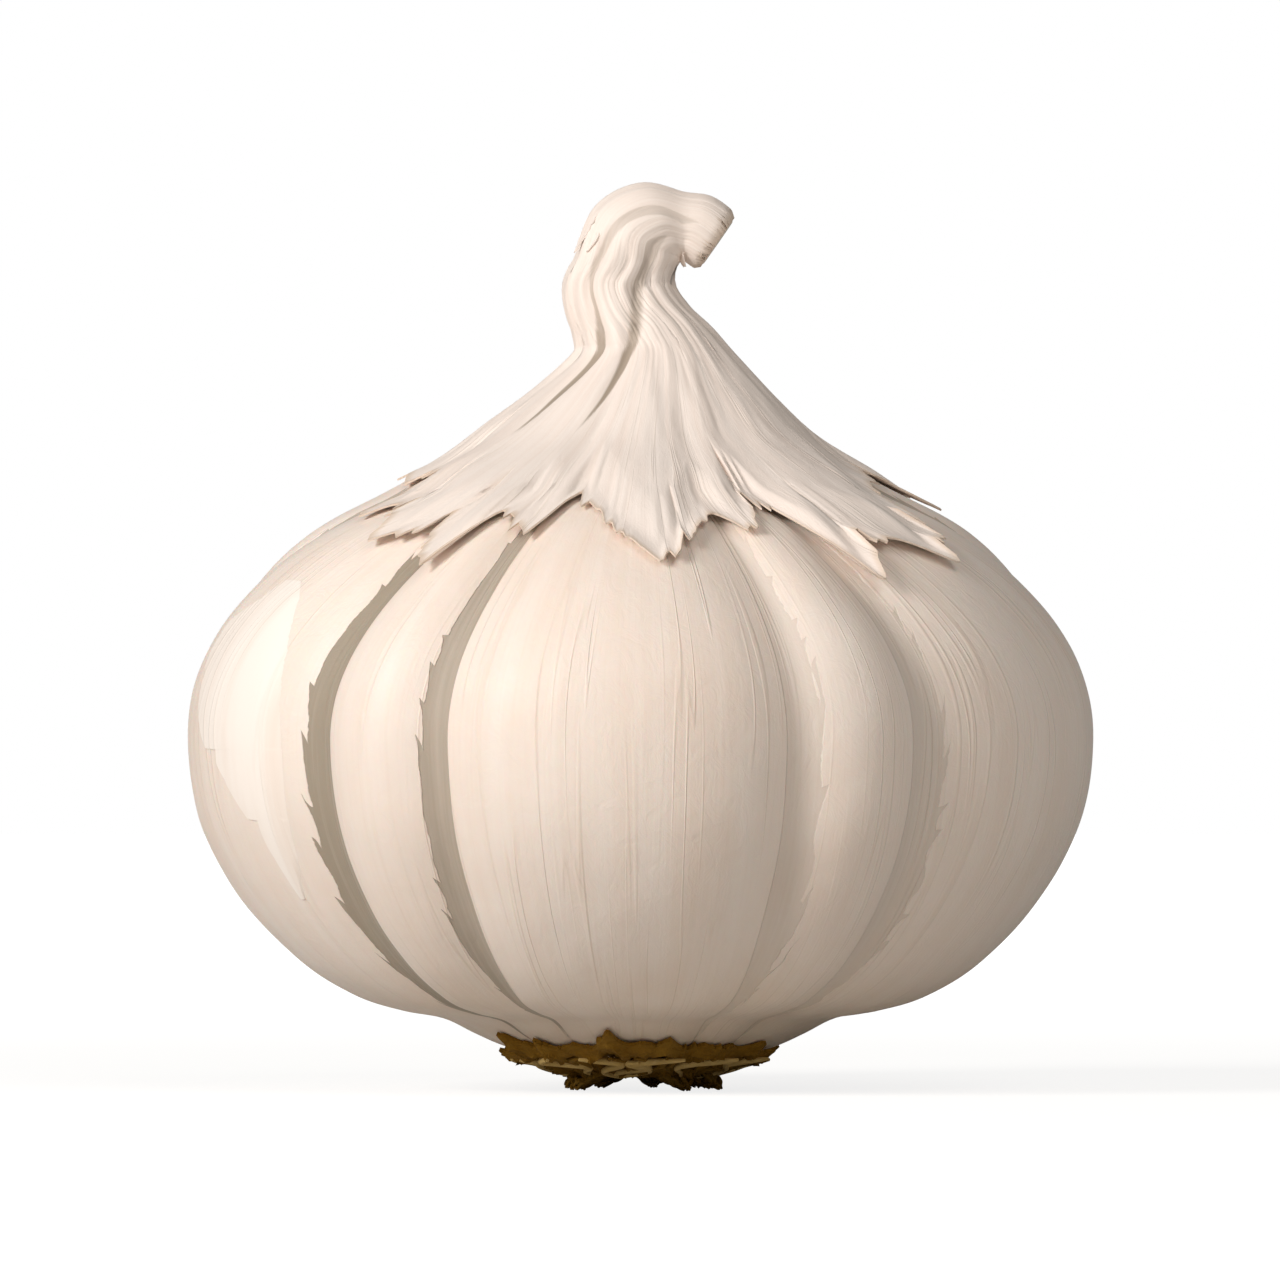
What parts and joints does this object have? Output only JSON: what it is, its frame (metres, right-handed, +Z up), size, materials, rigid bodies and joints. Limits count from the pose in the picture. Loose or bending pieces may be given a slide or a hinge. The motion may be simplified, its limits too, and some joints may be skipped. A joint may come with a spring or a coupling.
{
  "type": "garlic bulb",
  "caption": "Whole garlic bulb in pale papery skin, with a dried neck folded over at the top and a brown crown of trimmed roots",
  "frame": {"origin": "centre of the flat spot under the root crown, on which the bulb rests", "axes": "+Z up along the bulb's axis to its neck, +X towards the side that the neck folds to, -Y towards the front"},
  "size_m": [0.0615, 0.0619, 0.0618],
  "materials": {
    "clove_skin": "satin",
    "outer_skin": "satin",
    "dry_root": "matte"
  },
  "bodies": {
    "root": {"bulb": "clove_skin", "outer_skin": "outer_skin", "root_crown": "dry_root"}
  },
  "joints": []
}
